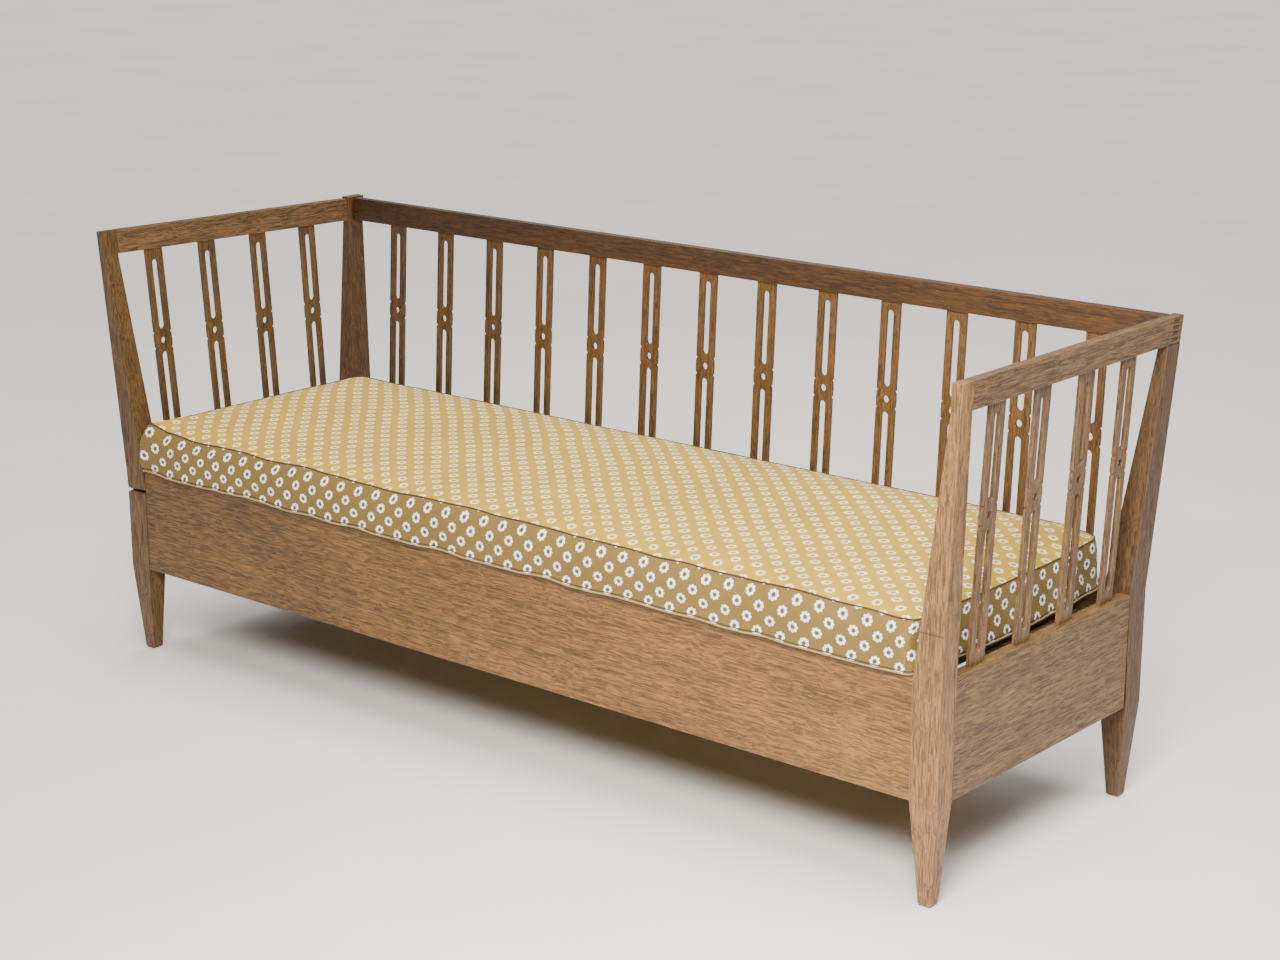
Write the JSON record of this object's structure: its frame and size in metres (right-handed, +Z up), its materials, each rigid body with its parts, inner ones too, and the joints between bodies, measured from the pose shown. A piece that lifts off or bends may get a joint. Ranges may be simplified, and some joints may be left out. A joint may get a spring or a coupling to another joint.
{
  "type": "daybed",
  "caption": "Oak daybed with a pierced-splat gallery on three sides, raked posts, deep aprons, a slatted deck, a drop arm and a loose mattress in flowered mustard cloth.",
  "frame": {"origin": "on the floor, under the centre of the whole piece's box", "axes": "+X to the sitter's left, which is the viewer's right from the front, along the length; front faces -Y; +Z up"},
  "size_m": [1.9123, 0.642, 0.8077],
  "materials": {
    "oak": "aged oiled oak, satin, open grain",
    "inner_oak": "darker plain oak, matt",
    "hinge_metal": "dark aged brass",
    "latch_metal": "dark browned steel",
    "mattress_cloth": "woven mustard cloth with pale ring flowers"
  },
  "bodies": {
    "frame": {"front_left_leg": "oak", "front_right_post": "oak", "back_left_post": "oak", "back_right_post": "oak", "front_apron": "oak", "back_apron": "oak", "right_apron": "oak", "left_apron": "oak", "front_cleat": "inner_oak", "back_cleat": "inner_oak", "centre_beam": "inner_oak", "corner_blocks": "inner_oak", "back_top_rail": "oak", "right_arm_rail": "oak", "back_splat_1": "oak", "back_splat_2": "oak", "back_splat_3": "oak", "back_splat_4": "oak", "back_splat_5": "oak", "back_splat_6": "oak", "back_splat_7": "oak", "back_splat_8": "oak", "back_splat_9": "oak", "back_splat_10": "oak", "back_splat_11": "oak", "back_splat_12": "oak", "back_splat_13": "oak", "right_splat_1": "oak", "right_splat_2": "oak", "right_splat_3": "oak", "right_splat_4": "oak", "deck_slat_1": "inner_oak", "deck_slat_2": "inner_oak", "deck_slat_3": "inner_oak", "deck_slat_4": "inner_oak", "deck_slat_5": "inner_oak", "deck_slat_6": "inner_oak", "deck_slat_7": "inner_oak", "deck_slat_8": "inner_oak", "deck_slat_9": "inner_oak", "deck_slat_10": "inner_oak", "hinge_leaves_fixed": "hinge_metal", "hinge_pins": "hinge_metal", "latch_screw": "latch_metal"},
    "drop_arm": {"arm_front_post": "oak", "arm_top_rail": "oak", "arm_bottom_rail": "oak", "arm_splat_1": "oak", "arm_splat_2": "oak", "arm_splat_3": "oak", "arm_splat_4": "oak", "hinge_leaves_arm": "hinge_metal"},
    "latch": {"latch_plate": "latch_metal"},
    "mattress": {"mattress": "mattress_cloth"}
  },
  "joints": [
    {"name": "drop_arm_fold", "type": "hinge", "parent": "frame", "child": "drop_arm", "pos_m": [-0.9009, 0, 0.318], "axis": [0, -1, 0], "range_deg": [0, 84]},
    {"name": "latch_turn", "type": "hinge", "parent": "frame", "child": "latch", "pos_m": [-0.92101, 0.291, 0.781], "axis": [-0.9992, 0, -0.0404], "range_deg": [0, 90]},
    {"name": "mattress_lift", "type": "slide", "parent": "frame", "child": "mattress", "axis": [0, 0, 1], "range_m": [0, 0.4]}
  ]
}
